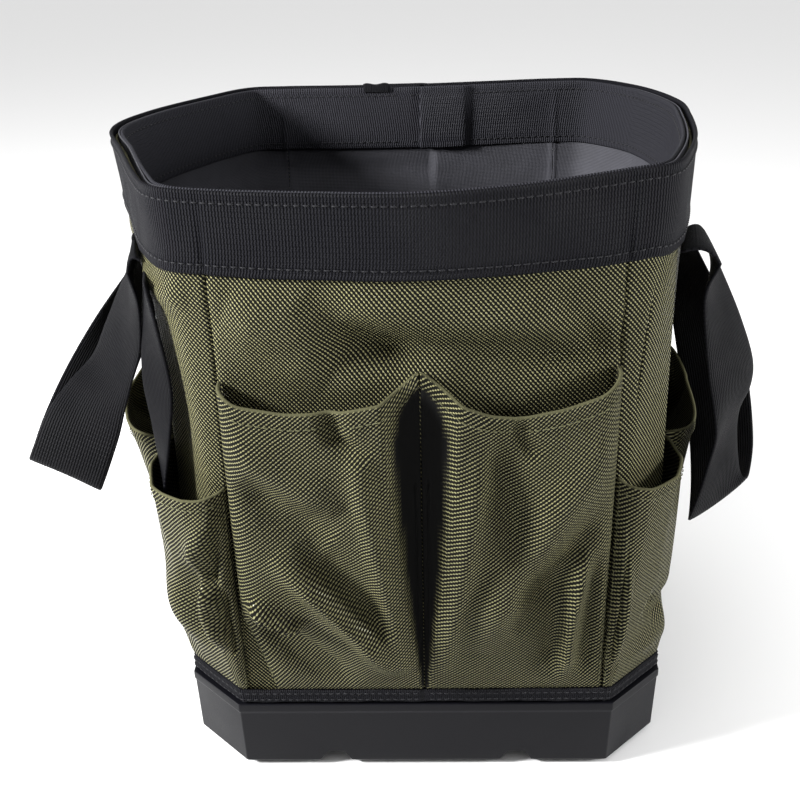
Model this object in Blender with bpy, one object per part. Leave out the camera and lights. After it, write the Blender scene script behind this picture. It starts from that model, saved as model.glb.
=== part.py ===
"""A soft tool bucket organizer: a four-panel sewn bag on a moulded tray.

The bag stands on Z = 0 and its front looks along -Y. Going up, the plan outline
changes from the tray's square with cut corners to the loose outline of the mouth.
Each sewn piece is a thin closed sheet that follows that wall at its own distance.
A place on the wall is given by its station, counted anticlockwise round the outline
from the middle of the front, and by its height.
"""

import math

import bpy
import numpy as np

# Driving dimensions, in metres
TRAY_WIDTH = 0.250
TRAY_HEIGHT = 0.041
CORNER_CUT = 0.0286
TRAY_TAPER = 0.0015
TRAY_WALL = 0.004
TRAY_FLOOR = 0.0115
FOOT_BEVEL = 0.0035
LIP_HEIGHT = 0.0055
LIP_OUT = 0.0005
CHANNEL_AT = 0.0474
CHANNEL_FOOT = 0.0212
CHANNEL_TOP = 0.0084
CHANNEL_HEIGHT = 0.009
BAG_HEIGHT = 0.3135
WEBBING = 0.038
FRONT_SEAM = 0.091
BACK_SEAM = 0.083

# Sheet thicknesses, and how far each layer's outer face stands from the wall
FABRIC = 0.0012
LINING = 0.0008
BAND = 0.0018
STRAP = 0.0022
BOARD = 0.003
BOARD_PLAY = 0.003
PANEL_OUT = 0.0
LINING_OUT = -0.0018
BAND_OUT = 0.0024
INNER_BAND_OUT = -0.0032
POCKET_SHEET = 0.0012
POCKET_CLEAR = 0.0014
CLEAR = 0.0005
SEAM_GAP = 0.012
WALL_INSET = 0.003

# Heights
WALL_FOOT = TRAY_HEIGHT + CLEAR
BINDING_TOP = 0.050
POCKET_FOOT = 0.0512
BAND_FOOT = BAG_HEIGHT - WEBBING
BOARD_FOOT = TRAY_FLOOR + CLEAR
FLOOR_CLOTH_FOOT = BOARD_FOOT + BOARD + CLEAR
LINING_FOOT = FLOOR_CLOTH_FOOT + LINING + CLEAR
WALL_ROWS = (0.105, 0.165, 0.222)
BAND_DROP = 0.002

# Any height from this up means the mouth itself, whose height changes round the bag
BAG_TOP = 1.0

# Stations of the outline
STATIONS = 24
FRONT_RIGHT_SEAM, BACK_RIGHT_SEAM = 2, 10
BACK_MIDDLE, BACK_LEFT_SEAM, FRONT_LEFT_SEAM = 12, 14, 22

# The rim bands lap over their own start by this many stations, and step up over this many
RIM_LAP = 0.6
RIM_STEP = 0.5

# The mouth's outline, one point for each station
MOUTH = (
    (0.000, -0.144, 0.3130), (0.045, -0.137, 0.3140), (0.090, -0.127, 0.3170),
    (0.109, -0.119, 0.3180), (0.118, -0.098, 0.3180), (0.129, -0.055, 0.3170),
    (0.138, 0.005, 0.3150), (0.141, 0.048, 0.3140), (0.131, 0.098, 0.3130),
    (0.108, 0.131, 0.3130), (0.084, 0.136, 0.3130), (0.042, 0.131, 0.3130),
    (0.000, 0.126, 0.3130), (-0.042, 0.125, 0.3130), (-0.084, 0.126, 0.3130),
    (-0.106, 0.122, 0.3130), (-0.124, 0.097, 0.3130), (-0.149, 0.050, 0.3130),
    (-0.158, 0.005, 0.3130), (-0.142, -0.045, 0.3130), (-0.124, -0.098, 0.3130),
    (-0.112, -0.125, 0.3135), (-0.091, -0.134, 0.3130), (-0.045, -0.141, 0.3130),
)

# Handles: each hangs from a level line through its front and its rear root
ROOT_Y = 0.081
HINGE_Z = 0.267
LEFT_HINGE_X = (-0.135, -0.150)
RIGHT_HINGE_X = (0.137, 0.146)
ROOT_GAP = 0.0015
ANCHOR_OUT = 0.0024
ARCH = 0.0015

# Centre points of each hanging loop and its width direction there, near root to far root
LEFT_LOOP = (
    ((-0.1350, -0.0810, 0.2670), (-0.092, 1.00, 0.00)),
    ((-0.1385, -0.0810, 0.2500), (-0.240, 0.97, 0.00)),
    ((-0.1450, -0.0810, 0.2280), (-0.470, 0.88, 0.05)),
    ((-0.1525, -0.0810, 0.2110), (-0.660, 0.74, 0.12)),
    ((-0.1610, -0.0850, 0.1980), (-0.840, 0.50, 0.20)),
    ((-0.1690, -0.0880, 0.1830), (-0.920, 0.20, 0.34)),
    ((-0.1775, -0.0900, 0.1640), (-0.880, 0.05, 0.46)),
    ((-0.1815, -0.0860, 0.1565), (-0.880, 0.00, 0.47)),
    ((-0.1845, -0.0700, 0.1550), (-0.880, -0.05, 0.46)),
    ((-0.1875, -0.0350, 0.1600), (-0.900, -0.15, 0.40)),
    ((-0.1865, 0.0100, 0.1720), (-0.880, -0.35, 0.30)),
    ((-0.1780, 0.0450, 0.1920), (-0.720, -0.62, 0.28)),
    ((-0.1630, 0.0700, 0.2220), (-0.420, -0.90, 0.10)),
    ((-0.1535, 0.0800, 0.2460), (-0.150, -0.99, 0.00)),
    ((-0.1500, 0.0810, 0.2670), (0.092, -1.00, 0.00)),
)
RIGHT_LOOP = (
    ((0.1370, -0.0810, 0.2670), (0.055, 1.00, 0.00)),
    ((0.1380, -0.0810, 0.2520), (0.240, 0.97, 0.00)),
    ((0.1445, -0.0810, 0.2300), (0.450, 0.89, 0.00)),
    ((0.1510, -0.0810, 0.2080), (0.630, 0.78, 0.00)),
    ((0.1530, -0.0810, 0.1930), (0.520, 0.85, 0.00)),
    ((0.1520, -0.0810, 0.1790), (0.370, 0.93, 0.00)),
    ((0.1510, -0.0810, 0.1640), (0.550, 0.83, 0.00)),
    ((0.1510, -0.0810, 0.1450), (0.700, 0.71, 0.00)),
    ((0.1520, -0.0770, 0.1340), (0.800, 0.45, 0.35)),
    ((0.1570, -0.0620, 0.1300), (0.800, 0.15, 0.58)),
    ((0.1640, -0.0350, 0.1350), (0.780, -0.10, 0.60)),
    ((0.1680, -0.0050, 0.1500), (0.780, -0.25, 0.55)),
    ((0.1675, 0.0250, 0.1730), (0.780, -0.45, 0.35)),
    ((0.1620, 0.0500, 0.2000), (0.620, -0.75, 0.15)),
    ((0.1545, 0.0700, 0.2260), (0.400, -0.90, 0.00)),
    ((0.1475, 0.0790, 0.2490), (0.100, -0.99, 0.00)),
    ((0.1460, 0.0810, 0.2670), (-0.055, -1.00, 0.00)),
)

# A narrow strap that hangs from the rim into the left front corner pocket
TOOL_STRAP_WIDTH = 0.025
TOOL_STRAP = (
    ((-0.1240, -0.1050, 0.2680), (-0.200, 0.98, 0.00)),
    ((-0.1240, -0.1055, 0.2450), (-0.450, 0.89, 0.00)),
    ((-0.1240, -0.1060, 0.2150), (-0.670, 0.74, 0.00)),
    ((-0.1250, -0.1055, 0.1900), (-0.500, 0.87, 0.00)),
    ((-0.1265, -0.1050, 0.1650), (-0.280, 0.96, 0.00)),
    ((-0.1265, -0.1040, 0.1450), (-0.250, 0.97, 0.00)),
)

# Pockets: name, first and last station, height of the hem, depth at the hem, and how much the
# belly swells more than the hem does
POCKETS = (
    ("front_pocket_right", 0.10, 1.96, 0.222, 0.013, 1.45),
    ("front_pocket_left", 22.04, 23.90, 0.222, 0.013, 1.45),
    ("right_front_corner_pocket", 2.06, 4.40, 0.169, 0.013, 1.00),
    ("right_middle_pocket", 4.48, 7.52, 0.169, 0.019, 1.00),
    ("right_rear_corner_pocket", 7.60, 9.94, 0.169, 0.014, 1.00),
    ("back_pocket_right", 10.06, 11.90, 0.222, 0.013, 1.45),
    ("back_pocket_left", 12.10, 13.94, 0.222, 0.013, 1.45),
    ("left_rear_corner_pocket", 14.06, 16.40, 0.169, 0.016, 1.00),
    ("left_middle_pocket", 16.48, 19.52, 0.169, 0.026, 1.00),
    ("left_front_corner_pocket", 19.60, 21.94, 0.169, 0.019, 1.00),
)

# Rows of points up each pocket, as shares of its height, and how near its ends the sheet turns
POCKET_ROWS = (0.0, 0.12, 0.35, 0.65, 1.0)
POCKET_TURNS = (0.06, 0.22)

# The flat pocket inside the back: its first and last station, its heights and its slack
INNER_POCKET = (10.4, 13.6)
INNER_POCKET_HEIGHTS = (0.075, 0.150, 0.215)
INNER_POCKET_SLACK = (0.0, 0.0024, 0.004)

# Edges that turn more than this stay sharp on the smooth pieces
SHARP_ANGLE = math.radians(40)

OLIVE = (0.090, 0.092, 0.040)
BLACK_CLOTH = (0.012, 0.012, 0.014)
BLACK_WEBBING = (0.014, 0.014, 0.018)
TRAY_PLASTIC = (0.025, 0.026, 0.030)
BOARD_PLASTIC = (0.05, 0.05, 0.05)


def clear_scene():
    for obj in list(bpy.data.objects):
        bpy.data.objects.remove(obj, do_unlink=True)


def make_material(name, colour, roughness):
    material = bpy.data.materials.new(name)
    material.use_nodes = True
    shader = material.node_tree.nodes["Principled BSDF"]
    shader.inputs["Base Color"].default_value = (*colour, 1.0)
    shader.inputs["Roughness"].default_value = roughness
    shader.inputs["Metallic"].default_value = 0.0
    return material


def make_object(name, points, faces, material, smooth=False):
    """A mesh object. A smooth one keeps its sharp edges."""
    mesh = bpy.data.meshes.new(name)
    mesh.from_pydata([tuple(p) for p in points], [], faces)
    mesh.validate()
    if smooth:
        mesh.shade_smooth()
        mesh.set_sharp_from_angle(angle=SHARP_ANGLE)
    obj = bpy.data.objects.new(name, mesh)
    obj.data.materials.append(material)
    bpy.context.scene.collection.objects.link(obj)
    return obj


def tray_outline():
    """The outline at the foot of the bag, one point for each station."""
    half = TRAY_WIDTH / 2 - WALL_INSET
    cut = half - CORNER_CUT
    front = [(FRONT_SEAM / 2, -half), (FRONT_SEAM, -half), (cut, -half)]
    side = [(half, -cut), (half, -cut / 2), (half, 0.0), (half, cut / 2), (half, cut)]
    back = [(cut, half), (BACK_SEAM, half), (BACK_SEAM / 2, half)]
    right = [*front, *side, *back]
    left = [(-x, y) for x, y in reversed(right)]
    return np.array([(0.0, -half), *right, (0.0, half), *left])


FOOT_OUTLINE = tray_outline()
MOUTH_OUTLINE = np.array(MOUTH)


def between(row, station):
    """A value of the closed row of stations: on a smooth curve at half stations, straight between."""
    lower = math.floor(station * 2) / 2
    share = (station - lower) * 2
    return (1 - share) * half_station(row, lower) + share * half_station(row, lower + 0.5)


def half_station(row, station):
    """The row's own value at a whole station, or its smooth curve's value half way between two."""
    i = math.floor(station) % STATIONS
    if station == math.floor(station):
        return row[i]
    before, a, b, after = (row[(i + k) % STATIONS] for k in (-1, 0, 1, 2))
    return (9 * (a + b) - before - after) / 16


def straight(row, station):
    """A value of the closed row of stations, straight between whole stations."""
    i = math.floor(station)
    share = station - i
    return (1 - share) * row[i % STATIONS] + share * row[(i + 1) % STATIONS]


def wall_line(station, height):
    """The wall's plan point at a station and height. Heights at BAG_TOP mean the mouth itself."""
    mouth = between(MOUTH_OUTLINE, station)
    foot = straight(FOOT_OUTLINE, station)
    z = mouth[2] if height >= BAG_TOP else height
    share = max(0.0, (z - WALL_FOOT) / (mouth[2] - WALL_FOOT))
    plan = foot + share * (mouth[:2] - foot)
    return np.array([plan[0], plan[1], z])


def wall_normal(station, height):
    """The level direction out of the wall."""
    along = wall_line(station + 0.3, height) - wall_line(station - 0.3, height)
    out = np.array([along[1], -along[0], 0.0])
    return out / np.linalg.norm(out)


def wall(station, height, out):
    """A point at a distance from the wall."""
    lower = math.floor(station * 2) / 2
    share = (station - lower) * 2
    normal = (1 - share) * wall_normal(lower, height) + share * wall_normal(lower + 0.5, height)
    return wall_line(station, height) + out * normal


def stations_between(first, last):
    """The two ends and every half station between them."""
    inner = [k / 2 for k in range(math.floor(first * 2) + 1, math.ceil(last * 2))]
    return [first, *inner, last]


def closed_sheet(front, back):
    """Points and faces of a closed solid between two equal grids of points; front is its outer side."""
    rows, columns = len(front), len(front[0])
    points = [p for grid in (front, back) for row in grid for p in row]

    def at(side, r, c):
        return side * rows * columns + r * columns + c

    faces = []
    top, end = rows - 1, columns - 1
    for r in range(top):
        for c in range(end):
            faces.append((at(0, r, c), at(0, r, c + 1), at(0, r + 1, c + 1), at(0, r + 1, c)))
            faces.append((at(1, r, c), at(1, r + 1, c), at(1, r + 1, c + 1), at(1, r, c + 1)))
    for c in range(end):
        faces.append((at(1, 0, c), at(1, 0, c + 1), at(0, 0, c + 1), at(0, 0, c)))
        faces.append((at(0, top, c), at(0, top, c + 1), at(1, top, c + 1), at(1, top, c)))
    for r in range(top):
        faces.append((at(1, r + 1, 0), at(1, r, 0), at(0, r, 0), at(0, r + 1, 0)))
        faces.append((at(0, r + 1, end), at(0, r, end), at(1, r, end), at(1, r + 1, end)))
    return points, faces


def wall_sheet(name, stations, heights, out, thickness, material):
    """A thin sheet that follows the wall. out is its outer face's distance, or a function of station."""
    distance = out if callable(out) else lambda station: out
    front = [[wall(s, h, distance(s)) for s in stations] for h in heights]
    back = [[wall(s, h, distance(s) - thickness) for s in stations] for h in heights]
    make_object(name, *closed_sheet(front, back), material, smooth=True)


def wall_ring(name, heights, out, thickness, material):
    """A sheet that goes all the way round the wall, as one closed ring."""
    stations = [k / 2 for k in range(STATIONS * 2)]
    loops = [(h, out) for h in heights] + [(h, out - thickness) for h in reversed(heights)]
    points = [wall(s, h, distance) for h, distance in loops for s in stations]
    count = len(stations)
    faces = []
    for r in range(len(loops)):
        below, above = r * count, (r + 1) % len(loops) * count
        for c in range(count):
            d = (c + 1) % count
            faces.append((below + c, below + d, above + d, above + c))
    make_object(name, points, faces, material, smooth=True)


def grid_normals(grid):
    """The unit normal at each point of a grid of points."""
    across = np.gradient(grid, axis=1)
    up = np.gradient(grid, axis=0)
    normal = np.cross(across, up)
    return normal / np.linalg.norm(normal, axis=2, keepdims=True)


def thick_sheet(name, middle, thickness, material):
    """A closed sheet of even thickness about a grid of middle points."""
    middle = np.array(middle)
    half = grid_normals(middle) * thickness / 2
    make_object(name, *closed_sheet(middle + half, middle - half), material, smooth=True)


def ribbon(name, centres, widths, width, thickness, material):
    """A flat strap along a line of centre points, each with its own width direction."""
    centres, widths = np.array(centres), np.array(widths)
    widths = widths / np.linalg.norm(widths, axis=1, keepdims=True)
    grid = np.stack([centres + widths * width * side for side in (-0.5, 0.0, 0.5)], axis=1)
    thick_sheet(name, grid, thickness, material)


def smooth_line(points, steps):
    """A Catmull-Rom line through the points, with that many steps from each to the next."""
    points = np.array(points, float)
    padded = np.vstack([2 * points[0] - points[1], points, 2 * points[-1] - points[-2]])
    line = []
    for i in range(1, len(padded) - 2):
        before, a, b, after = padded[i - 1 : i + 3]
        slope = b - before
        bend = 2 * before - 5 * a + 4 * b - after
        twist = 3 * (a - b) + after - before
        for k in range(steps):
            t = k / steps
            line.append(a + 0.5 * t * (slope + t * (bend + t * twist)))
    line.append(points[-1])
    return line


def octagon(width, cut, z):
    half = width / 2
    inner = half - cut
    corners = [(-inner, -half), (inner, -half), (half, -inner), (half, inner)]
    corners += [(-x, -y) for x, y in corners]
    return [(x, y, z) for x, y in corners]


def loft(name, rings, material):
    """A closed solid through equal rings, with its first and last ring capped."""
    count = len(rings[0])
    points = [p for ring in rings for p in ring]
    faces = [tuple(reversed(range(count)))]
    for r in range(len(rings) - 1):
        for c in range(count):
            d = (c + 1) % count
            faces.append((r * count + c, r * count + d, (r + 1) * count + d, (r + 1) * count + c))
    faces.append(tuple((len(rings) - 1) * count + c for c in range(count)))
    return make_object(name, points, faces, material)


def channel_cutter(offset, along_x):
    """A bar with a trapezoid section that cuts one channel across the underside."""
    reach = TRAY_WIDTH
    low = -CHANNEL_HEIGHT
    foot = CHANNEL_FOOT / 2 + (CHANNEL_FOOT - CHANNEL_TOP) / 2
    top = CHANNEL_TOP / 2
    section = [(-foot, low), (foot, low), (top, CHANNEL_HEIGHT), (-top, CHANNEL_HEIGHT)]
    points = []
    for end in (-reach, reach):
        for side, z in section:
            points.append((end, offset + side, z) if along_x else (offset + side, -end, z))
    faces = [(0, 3, 2, 1), (4, 5, 6, 7), (0, 1, 5, 4), (1, 2, 6, 5), (2, 3, 7, 6), (3, 0, 4, 7)]
    cutter = make_object("channel_cutter", points, faces, bpy.data.materials["tray_plastic"])
    cutter.hide_render = True
    cutter.display_type = "WIRE"
    return cutter


def build_tray(material):
    """The moulded tray: a shallow cut-cornered dish with feet between crossing channels."""
    bottom = TRAY_WIDTH - 2 * TRAY_TAPER
    lip = TRAY_HEIGHT - LIP_HEIGHT
    rings = [
        octagon(bottom - 2 * FOOT_BEVEL, CORNER_CUT, 0.0),
        octagon(bottom, CORNER_CUT, FOOT_BEVEL),
        octagon(TRAY_WIDTH - 2 * LIP_OUT, CORNER_CUT, lip),
        octagon(TRAY_WIDTH, CORNER_CUT, lip + 2 * LIP_OUT),
        octagon(TRAY_WIDTH, CORNER_CUT, TRAY_HEIGHT),
        octagon(TRAY_WIDTH - 2 * TRAY_WALL, CORNER_CUT, TRAY_HEIGHT),
        octagon(TRAY_WIDTH - 2 * TRAY_WALL, CORNER_CUT, TRAY_FLOOR),
    ]
    tray = loft("base_tray", rings, material)
    for along_x in (False, True):
        for side in (-1, 1):
            cut = tray.modifiers.new("channel", "BOOLEAN")
            cut.operation = "DIFFERENCE"
            cut.solver = "EXACT"
            cut.object = channel_cutter(side * CHANNEL_AT, along_x)


def build_floor(board_material, cloth_material):
    """The stiff board in the tray and the cloth over it."""
    width = TRAY_WIDTH - 2 * TRAY_WALL - BOARD_PLAY
    heights = (BOARD_FOOT, BOARD_FOOT + BOARD)
    loft("base_board", [octagon(width, CORNER_CUT, z) for z in heights], board_material)
    heights = (FLOOR_CLOTH_FOOT, FLOOR_CLOTH_FOOT + LINING)
    loft("bottom_lining", [octagon(width - BOARD_PLAY, CORNER_CUT, z) for z in heights], cloth_material)


def build_walls(cloth, lining):
    """Outer panels and their linings, one for each side, sewn along the four seams."""
    sides = (
        ("front", FRONT_LEFT_SEAM - STATIONS, FRONT_RIGHT_SEAM),
        ("right", FRONT_RIGHT_SEAM, BACK_RIGHT_SEAM),
        ("back", BACK_RIGHT_SEAM, BACK_LEFT_SEAM),
        ("left", BACK_LEFT_SEAM, FRONT_LEFT_SEAM),
    )
    heights = (WALL_FOOT, BINDING_TOP, *WALL_ROWS, BAND_FOOT, BAG_TOP)
    for side, first, last in sides:
        stations = stations_between(first + SEAM_GAP, last - SEAM_GAP)
        wall_sheet(f"{side}_panel", stations, heights, PANEL_OUT, FABRIC, cloth)
        wall_sheet(f"{side}_lining", stations, (LINING_FOOT, *heights), LINING_OUT, LINING, lining)


def build_bands(webbing):
    """The webbing round the mouth, outside and inside, and the tape round the foot of the bag."""
    wall_ring("base_binding", (WALL_FOOT, BINDING_TOP), BAND_OUT, BAND, webbing)
    laps = {"rim_band_outer": (BAND_OUT, 1), "rim_band_inner": (INNER_BAND_OUT, -1)}
    for name, (out, side) in laps.items():
        last = BACK_MIDDLE + STATIONS + RIM_LAP

        def distance(station, out=out, side=side, last=last):
            """The band's last stretch steps over its first."""
            step = (station - (last - RIM_LAP - RIM_STEP)) / RIM_STEP
            return out + side * (BAND + CLEAR) * min(1.0, max(0.0, step))

        stations = stations_between(BACK_MIDDLE, last)
        wall_sheet(name, stations, (BAND_FOOT + CLEAR, BAG_TOP), distance, BAND, webbing)


def build_pocket(name, first, last, hem, depth, belly, cloth):
    """One pouch: sewn down both sides and along its foot, open at the hem."""
    turns = [first + turn for turn in POCKET_TURNS] + [last - turn for turn in POCKET_TURNS]
    stations = sorted({*stations_between(first, last), *turns})
    rows = []
    for rise in POCKET_ROWS:
        height = POCKET_FOOT + rise * (hem - POCKET_FOOT)
        swell = rise**0.7 * (belly - (belly - 1.0) * rise**3)
        row = []
        for station in stations:
            across = (station - first) / (last - first)
            edge = (1 - abs(2 * across - 1) ** 4) ** 0.5
            row.append(wall(station, height, POCKET_CLEAR + depth * swell * edge))
        rows.append(row)
    thick_sheet(name, rows, POCKET_SHEET, cloth)


def build_inner_pocket(cloth):
    """The flat pocket sewn to the back lining."""
    out = LINING_OUT - LINING - CLEAR
    first, last = INNER_POCKET
    stations = stations_between(first, last)
    outer, inner = [], []
    for height, slack in zip(INNER_POCKET_HEIGHTS, INNER_POCKET_SLACK):
        away = [out - slack * math.sin(math.pi * (s - first) / (last - first)) for s in stations]
        outer.append([wall(s, height, distance) for s, distance in zip(stations, away)])
        inner.append([wall(s, height, distance - LINING) for s, distance in zip(stations, away)])
    make_object("inner_pocket", *closed_sheet(outer, inner), cloth, smooth=True)


def station_at(side, y):
    """The station on the left (-1) or right (1) side where the rim band's foot has that y."""
    low, high = (2.5, 9.5) if side > 0 else (14.5, 21.5)
    for _ in range(40):
        middle = (low + high) / 2
        short = wall_line(middle, BAND_FOOT)[1] < y
        if short == (side > 0):
            low = middle
        else:
            high = middle
    return low


def hinge_at(hinge_x, y):
    """The x of a handle's hinge line at that y."""
    front, rear = hinge_x
    return front + (rear - front) * (y + ROOT_Y) / (2 * ROOT_Y)


def build_anchor(name, side, root_y, hinge_x, webbing):
    """The sewn end of a handle: it leaves the wall under the rim band and reaches the hinge line."""
    ys = np.linspace(root_y - WEBBING / 2, root_y + WEBBING / 2, 7)
    rows = []
    for share in (0.0, 0.5, 1.0):
        row = []
        for y in ys:
            start = wall(station_at(side, y), BAND_FOOT - BAND_DROP, ANCHOR_OUT)
            end = np.array([hinge_at(hinge_x, y) - side * ROOT_GAP, y, HINGE_Z + ROOT_GAP])
            arch = np.array([0.0, 0.0, ARCH * math.sin(math.pi * share)])
            row.append(start + share * (end - start) + arch)
        rows.append(row if side > 0 else row[::-1])
    thick_sheet(name, rows, STRAP, webbing)


def build_handles(webbing):
    handles = (("left", -1, LEFT_HINGE_X, LEFT_LOOP), ("right", 1, RIGHT_HINGE_X, RIGHT_LOOP))
    for word, side, hinge_x, loop in handles:
        centres = smooth_line([centre for centre, _ in loop], 2)
        widths = smooth_line([direction for _, direction in loop], 2)
        ribbon(f"{word}_handle", centres, widths, WEBBING, STRAP, webbing)
        for place, root_y in (("front", -ROOT_Y), ("rear", ROOT_Y)):
            build_anchor(f"{word}_handle_{place}_anchor", side, root_y, hinge_x, webbing)


def build_tool_strap(webbing):
    centres = smooth_line([centre for centre, _ in TOOL_STRAP], 2)
    widths = smooth_line([direction for _, direction in TOOL_STRAP], 2)
    ribbon("tool_strap", centres, widths, TOOL_STRAP_WIDTH, BAND, webbing)


def main():
    clear_scene()
    tray_plastic = make_material("tray_plastic", TRAY_PLASTIC, 0.45)
    board_plastic = make_material("board_plastic", BOARD_PLASTIC, 0.6)
    olive_cloth = make_material("olive_cloth", OLIVE, 0.75)
    lining_cloth = make_material("lining_cloth", BLACK_CLOTH, 0.8)
    webbing = make_material("black_webbing", BLACK_WEBBING, 0.8)
    build_tray(tray_plastic)
    build_floor(board_plastic, lining_cloth)
    build_walls(olive_cloth, lining_cloth)
    build_bands(webbing)
    for name, first, last, hem, depth, belly in POCKETS:
        build_pocket(name, first, last, hem, depth, belly, olive_cloth)
    build_inner_pocket(lining_cloth)
    build_handles(webbing)
    build_tool_strap(webbing)


main()
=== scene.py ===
"""The looks of a soft tool bucket organizer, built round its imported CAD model.

The walls, pockets, webbing and lining are fine curved sheets on the same wall as the CAD
solids: a place on it is a station, counted anticlockwise from the middle of the front,
and a height. Lengths are in metres.
"""

import math

import bmesh
import bpy
import numpy as np
from mathutils import Matrix, Vector


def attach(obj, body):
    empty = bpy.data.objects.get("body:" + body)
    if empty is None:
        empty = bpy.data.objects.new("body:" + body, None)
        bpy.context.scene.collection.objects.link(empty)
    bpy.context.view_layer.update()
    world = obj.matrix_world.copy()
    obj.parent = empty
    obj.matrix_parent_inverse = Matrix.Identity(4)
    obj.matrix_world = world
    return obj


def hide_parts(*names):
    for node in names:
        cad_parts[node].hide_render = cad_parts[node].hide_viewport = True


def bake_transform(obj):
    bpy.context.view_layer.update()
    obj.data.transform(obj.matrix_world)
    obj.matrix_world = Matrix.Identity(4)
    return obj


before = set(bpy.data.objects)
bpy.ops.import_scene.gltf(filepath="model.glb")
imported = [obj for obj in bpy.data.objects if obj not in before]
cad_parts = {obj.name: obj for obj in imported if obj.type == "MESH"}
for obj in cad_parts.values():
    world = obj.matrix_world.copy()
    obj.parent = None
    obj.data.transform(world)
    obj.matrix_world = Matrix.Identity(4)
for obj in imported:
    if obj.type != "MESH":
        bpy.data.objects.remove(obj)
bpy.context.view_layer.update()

# ---- the wall

TRAY_WIDTH = 0.250
CORNER_CUT = 0.0286
WALL_INSET = 0.003
WALL_FOOT = 0.0415
POCKET_FOOT = 0.0512
BAND_FOOT = 0.276
FRONT_SEAM = 0.091
BACK_SEAM = 0.083
STATIONS = 24
STATION_MM = 45.0  # a station's usual length, which sizes folds and mesh steps

CLOTH = 0.0012  # thicknesses
LINING = 0.0008
BAND = 0.0018
WEBBING = 0.038  # widths
TOOL_WEBBING = 0.025

MOUTH = np.array([
    (0.000, -0.144, 0.313), (0.045, -0.137, 0.314), (0.09, -0.127, 0.317),
    (0.109, -0.119, 0.318), (0.118, -0.098, 0.318), (0.129, -0.055, 0.317),
    (0.138, 0.005, 0.315), (0.141, 0.048, 0.314), (0.131, 0.098, 0.313),
    (0.108, 0.131, 0.313), (0.084, 0.136, 0.313), (0.042, 0.131, 0.313),
    (0.000, 0.126, 0.313), (-0.042, 0.125, 0.313), (-0.084, 0.126, 0.313),
    (-0.106, 0.122, 0.313), (-0.124, 0.097, 0.313), (-0.149, 0.05, 0.313),
    (-0.158, 0.005, 0.313), (-0.142, -0.045, 0.313), (-0.124, -0.098, 0.313),
    (-0.112, -0.125, 0.3135), (-0.091, -0.134, 0.313), (-0.045, -0.141, 0.313),
])


def tray_outline():
    """Where the wall's foot is at each station."""
    half = TRAY_WIDTH / 2 - WALL_INSET
    cut = half - CORNER_CUT
    front = [(FRONT_SEAM / 2, -half), (FRONT_SEAM, -half), (cut, -half)]
    side = [(half, -cut), (half, -cut / 2), (half, 0.0), (half, cut / 2), (half, cut)]
    back = [(cut, half), (BACK_SEAM, half), (BACK_SEAM / 2, half)]
    right = [*front, *side, *back]
    left = [(-x, y) for x, y in reversed(right)]
    return np.array([(0.0, -half), *right, (0.0, half), *left])


FOOT = tray_outline()


def spline(p, a, b, n, t):
    """The place a share t of the way from a to b, on a smooth curve through p, a, b and n."""
    return a + 0.5 * t * (b - p + t * (2 * p - 5 * a + 4 * b - n + t * (3 * (a - b) + n - p)))


def curve(row, station):
    """A smooth closed curve through the row's stations."""
    station = np.asarray(station, float)
    i = np.floor(station).astype(int)
    return spline(*(row[(i + k) % STATIONS] for k in (-1, 0, 1, 2)), (station - i)[..., None])


def straight(row, station):
    """The same with straight runs from station to station."""
    station = np.asarray(station, float)
    i = np.floor(station).astype(int)
    t = (station - i)[..., None]
    return row[i % STATIONS] * (1 - t) + row[(i + 1) % STATIONS] * t


def mouth_height(station):
    return curve(MOUTH, station)[..., 2]


def plan(station, height):
    """Where the wall is, seen from above, at a height."""
    mouth = curve(MOUTH, station)
    foot = straight(FOOT, station)
    share = np.clip((height - WALL_FOOT) / (mouth[..., 2] - WALL_FOOT), 0, None)[..., None]
    return foot + share * (mouth[..., :2] - foot)


def wall(station, height, out):
    """Points at a distance from the wall, for arrays of stations, heights and distances."""
    station, height, out = np.broadcast_arrays(station, height, out)
    along = plan(station + 0.3, height) - plan(station - 0.3, height)
    normal = np.stack([along[..., 1], -along[..., 0]], -1)
    normal /= np.linalg.norm(normal, axis=-1, keepdims=True)
    flat = plan(station, height) + out[..., None] * normal
    return np.concatenate([flat, height[..., None]], -1)


# ---- folds and unevenness


def stations_from(station, place):
    """How many stations it is from a place, the short way round."""
    return np.mod(station - place + STATIONS / 2, STATIONS) - STATIONS / 2


def mound(station, height, at, size, amount):
    """A soft mound or dent about a place (station, height in mm), of a size in mm."""
    ds = stations_from(station, at[0]) * STATION_MM / size[0]
    dz = (height * 1000 - at[1]) / size[1]
    return amount * np.exp(-(ds * ds + dz * dz))


def crease(station, height, line, width, amount, sharp):
    """A ridge or valley along a line of (station, height in mm) points, fading at its ends.

    The width is in mm, and sharp runs from 0 for a round fold to 1 for a keen one.
    """
    x = stations_from(station, line[0][0]) * STATION_MM
    z = height * 1000
    pts = [((s - line[0][0]) * STATION_MM, h) for s, h in line]
    runs = [math.dist(a, b) for a, b in zip(pts, pts[1:])]
    best = np.full(np.shape(x), 1e9)
    place = np.zeros(np.shape(x))
    done = 0.0
    for (ax, az), (bx, bz), length in zip(pts, pts[1:], runs):
        t = np.clip(((x - ax) * (bx - ax) + (z - az) * (bz - az)) / length**2, 0, 1)
        d = np.hypot(x - ax - t * (bx - ax), z - az - t * (bz - az))
        nearer = d < best
        best = np.where(nearer, d, best)
        place = np.where(nearer, (done + t * length) / sum(runs), place)
        done += length
    fade = np.clip(np.minimum(place, 1 - place) * 4, 0, 1) ** 0.7
    soft = np.exp(-((best / width) ** 2))
    keen = np.exp(-best / width)
    return amount * fade * (sharp * keen + (1 - sharp) * soft)


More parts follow.
